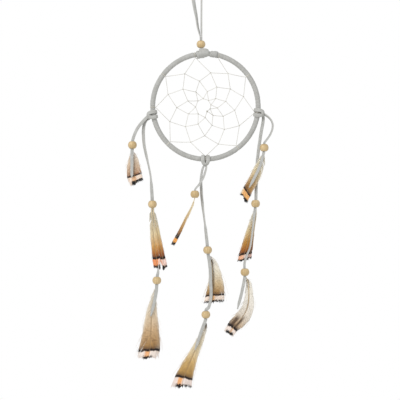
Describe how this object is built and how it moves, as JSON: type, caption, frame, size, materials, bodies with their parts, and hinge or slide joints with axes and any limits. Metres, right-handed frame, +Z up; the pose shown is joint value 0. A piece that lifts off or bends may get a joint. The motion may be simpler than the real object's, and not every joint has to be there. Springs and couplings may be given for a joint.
{
  "type": "dream catcher",
  "caption": "Lace-wrapped hoop with a woven thread web, hung by a beaded loop, with folded laces below that carry wooden beads and barred feathers.",
  "frame": {"origin": "inside of the hanging loop's top, where a hook bears", "axes": "+Z up along the hanging loop, the front faces -Y, and the hoop lies in the XZ plane"},
  "size_m": [0.1337, 0.0144, 0.3681],
  "materials": {
    "lace": "suede nap, light grey",
    "wood": "turned and waxed",
    "thread": "twisted waxed thread",
    "feather": "barred natural feather",
    "wire": "plain"
  },
  "bodies": {
    "hanger": {"hanging_loop": "lace"},
    "top_bead": {"top_bead": "wood"},
    "knot": {"top_knot": "lace"},
    "hoop": {"hoop_ring": "wire", "hoop_wrap": "lace", "wrap_end": "lace", "web_thread": "thread", "web_hitches": "thread", "web_centre_knot": "thread"},
    "left_tie": {"left_tie": "lace"},
    "bottom_tie": {"bottom_tie": "lace"},
    "right_tie": {"right_tie": "lace"},
    "left_short": {"left_short_lace": "lace", "left_short_bead": "wood"},
    "left_long": {"left_long_lace": "lace", "left_middle_bead": "wood"},
    "left_end": {"left_end_lace": "lace", "left_end_bead": "wood"},
    "bottom_short": {"bottom_short_lace": "lace", "bottom_short_bead": "wood"},
    "bottom_long": {"bottom_long_lace": "lace", "bottom_middle_bead": "wood"},
    "bottom_end": {"bottom_end_lace": "lace", "bottom_end_bead": "wood"},
    "right_short": {"right_short_lace": "lace", "right_short_bead": "wood"},
    "right_long": {"right_long_lace": "lace", "right_middle_bead": "wood"},
    "right_end": {"right_end_lace": "lace", "right_end_bead": "wood"},
    "left_short_feather": {"left_short_tail": "lace", "left_short_feather": "feather"},
    "left_middle_feather_a": {"left_middle_feather_a": "feather"},
    "left_middle_feather_b": {"left_middle_feather_b": "feather"},
    "left_end_feather": {"left_end_feather": "feather"},
    "bottom_short_feather": {"bottom_short_feather": "feather"},
    "bottom_middle_feather": {"bottom_middle_feather": "feather"},
    "bottom_end_feather": {"bottom_end_feather": "feather"},
    "right_short_feather": {"right_short_tail": "lace", "right_short_feather": "feather"},
    "right_middle_feathers": {"right_middle_feather_a": "feather", "right_middle_feather_b": "feather"},
    "right_end_feather": {"right_end_feather": "feather"}
  },
  "joints": [
    {"name": "top_bead_slide", "type": "slide", "parent": "hanger", "child": "top_bead", "axis": [0, 0, 1], "range_m": [0, 0.004]},
    {"name": "loop_twist", "type": "hinge", "parent": "hanger", "child": "knot", "pos_m": [0.003, 0, -0.0598], "axis": [0, 0, 1], "range_deg": [-90, 90], "stiffness_Nm_per_rad": 0.00002},
    {"name": "hoop_tilt", "type": "hinge", "parent": "knot", "child": "hoop", "pos_m": [0.00492, 0, -0.06434], "axis": [0.999, 0, 0.0436], "range_deg": [-25, 25]},
    {"name": "left_tie_roll", "type": "hinge", "parent": "hoop", "child": "left_tie", "pos_m": [-0.04011, 0, -0.11946], "axis": [0.1564, 0, -0.9877], "range_deg": [-50, 50]},
    {"name": "bottom_tie_roll", "type": "hinge", "parent": "hoop", "child": "bottom_tie", "pos_m": [0.007, 0, -0.1597], "axis": [-1, 0, 0], "range_deg": [-45, 45]},
    {"name": "right_tie_roll", "type": "hinge", "parent": "hoop", "child": "right_tie", "pos_m": [0.05434, 0, -0.11781], "axis": [0.1219, 0, 0.9925], "range_deg": [-50, 50]},
    {"name": "left_short_swing", "type": "hinge", "parent": "left_tie", "child": "left_short", "pos_m": [-0.047, -0.0009, -0.123], "axis": [-1, 0, 0], "range_deg": [0, 45]},
    {"name": "left_long_swing", "type": "hinge", "parent": "left_tie", "child": "left_long", "pos_m": [-0.0476, 0.0009, -0.1236], "axis": [-1, 0, 0], "range_deg": [-45, 0]},
    {"name": "left_end_swing", "type": "hinge", "parent": "left_long", "child": "left_end", "pos_m": [-0.0357, 0.001, -0.2606], "axis": [-1, 0, 0], "range_deg": [-40, 40]},
    {"name": "bottom_short_swing", "type": "hinge", "parent": "bottom_tie", "child": "bottom_short", "pos_m": [0.0078, -0.0009, -0.1666], "axis": [-1, 0, 0], "range_deg": [0, 45]},
    {"name": "bottom_long_swing", "type": "hinge", "parent": "bottom_tie", "child": "bottom_long", "pos_m": [0.0052, 0.0009, -0.1666], "axis": [-1, 0, 0], "range_deg": [-45, 0]},
    {"name": "bottom_end_swing", "type": "hinge", "parent": "bottom_long", "child": "bottom_end", "pos_m": [0.01, 0.001, -0.294], "axis": [-1, 0, 0], "range_deg": [-40, 40]},
    {"name": "right_short_swing", "type": "hinge", "parent": "right_tie", "child": "right_short", "pos_m": [0.0616, -0.0009, -0.12], "axis": [-1, 0, 0], "range_deg": [0, 45]},
    {"name": "right_long_swing", "type": "hinge", "parent": "right_tie", "child": "right_long", "pos_m": [0.0594, 0.0009, -0.1216], "axis": [-1, 0, 0], "range_deg": [-45, 0]},
    {"name": "right_end_swing", "type": "hinge", "parent": "right_long", "child": "right_end", "pos_m": [0.0425, 0.001, -0.2535], "axis": [-1, 0, 0], "range_deg": [-40, 40]},
    {"name": "left_short_feather_lift", "type": "hinge", "parent": "left_short", "child": "left_short_feather", "pos_m": [-0.0592, -0.002, -0.151], "axis": [-1, 0, 0], "range_deg": [-40, 40]},
    {"name": "left_middle_feather_a_lift", "type": "hinge", "parent": "left_long", "child": "left_middle_feather_a", "pos_m": [-0.0416, -0.00035, -0.2041], "axis": [-1, 0, 0], "range_deg": [0, 45]},
    {"name": "left_middle_feather_b_lift", "type": "hinge", "parent": "left_long", "child": "left_middle_feather_b", "pos_m": [-0.0404, -0.00035, -0.2041], "axis": [-1, 0, 0], "range_deg": [0, 45]},
    {"name": "left_end_feather_lift", "type": "hinge", "parent": "left_end", "child": "left_end_feather", "pos_m": [-0.037, 0.00235, -0.2731], "axis": [-1, 0, 0], "range_deg": [-45, 0]},
    {"name": "bottom_short_feather_lift", "type": "hinge", "parent": "bottom_short", "child": "bottom_short_feather", "pos_m": [-0.0026, -0.004, -0.1951], "axis": [-1, 0, 0], "range_deg": [-40, 40]},
    {"name": "bottom_middle_feather_lift", "type": "hinge", "parent": "bottom_long", "child": "bottom_middle_feather", "pos_m": [0.0093, 0.00235, -0.2456], "axis": [-1, 0, 0], "range_deg": [-45, 0]},
    {"name": "bottom_end_feather_lift", "type": "hinge", "parent": "bottom_end", "child": "bottom_end_feather", "pos_m": [0.0075, 0.00235, -0.3041], "axis": [-1, 0, 0], "range_deg": [-45, 0]},
    {"name": "right_short_feather_lift", "type": "hinge", "parent": "right_short", "child": "right_short_feather", "pos_m": [0.0598, -0.004, -0.1533], "axis": [-1, 0, 0], "range_deg": [0, 45]},
    {"name": "right_middle_feathers_lift", "type": "hinge", "parent": "right_long", "child": "right_middle_feathers", "pos_m": [0.0524, 0.00235, -0.2036], "axis": [-1, 0, 0], "range_deg": [-45, 0]},
    {"name": "right_end_feather_lift", "type": "hinge", "parent": "right_end", "child": "right_end_feather", "pos_m": [0.0432, 0.00235, -0.2656], "axis": [-1, 0, 0], "range_deg": [-45, 0]}
  ]
}
